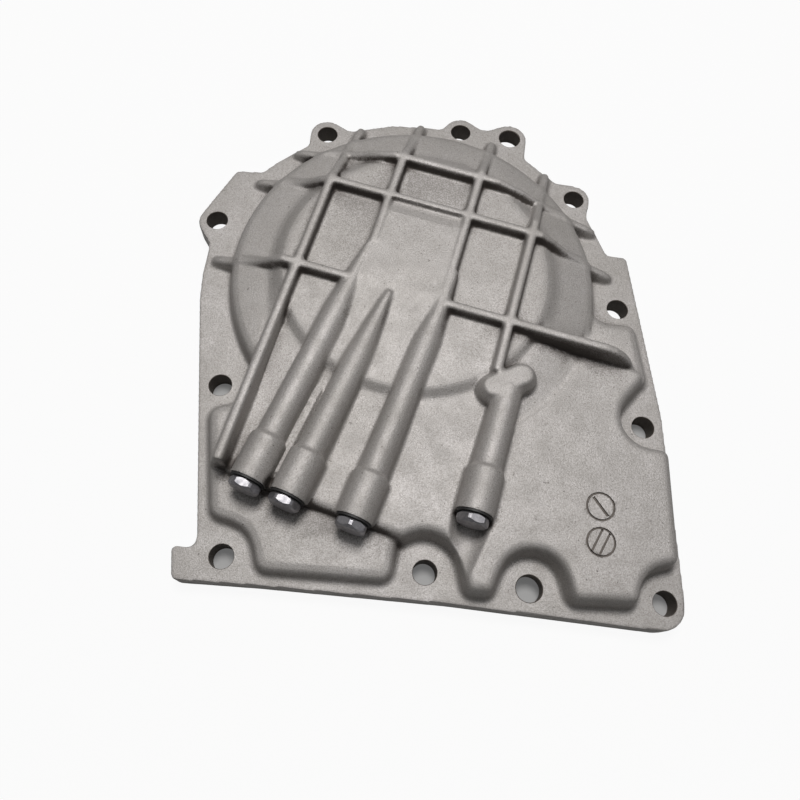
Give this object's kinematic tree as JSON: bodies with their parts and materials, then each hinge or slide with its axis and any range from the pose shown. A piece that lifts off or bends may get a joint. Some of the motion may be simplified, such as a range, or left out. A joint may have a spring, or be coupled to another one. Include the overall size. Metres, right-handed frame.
{
  "type": "transmission rear cover",
  "caption": "Ribbed, domed cast aluminium rear cover with a wavy bolt flange, plugged oil galleries and an inner hub with a bush and sealing rings.",
  "frame": {"origin": "on the hub's axis, in the plane of the gasket face", "axes": "+Z out of the gearbox along the hub's axis, +Y towards the rounded end of the cover, +X to the right as seen from outside; metres"},
  "size_m": [0.2127, 0.2303, 0.0299],
  "materials": {
    "cast_aluminium": "bead blasted",
    "plug_steel": "bright zinc plated",
    "seal_rubber": "matte",
    "bush_bronze": "machined",
    "ring_iron": "machined"
  },
  "bodies": {
    "root": {"cover_casting": "cast_aluminium", "plug_1": "plug_steel", "plug_2": "plug_steel", "plug_3": "plug_steel", "plug_4": "plug_steel", "seal_1": "seal_rubber", "seal_2": "seal_rubber", "seal_3": "seal_rubber", "seal_4": "seal_rubber", "hub_bush": "bush_bronze", "hub_ring_1": "ring_iron", "hub_ring_2": "ring_iron", "hub_ring_3": "ring_iron", "hub_ring_4": "ring_iron"}
  },
  "joints": []
}
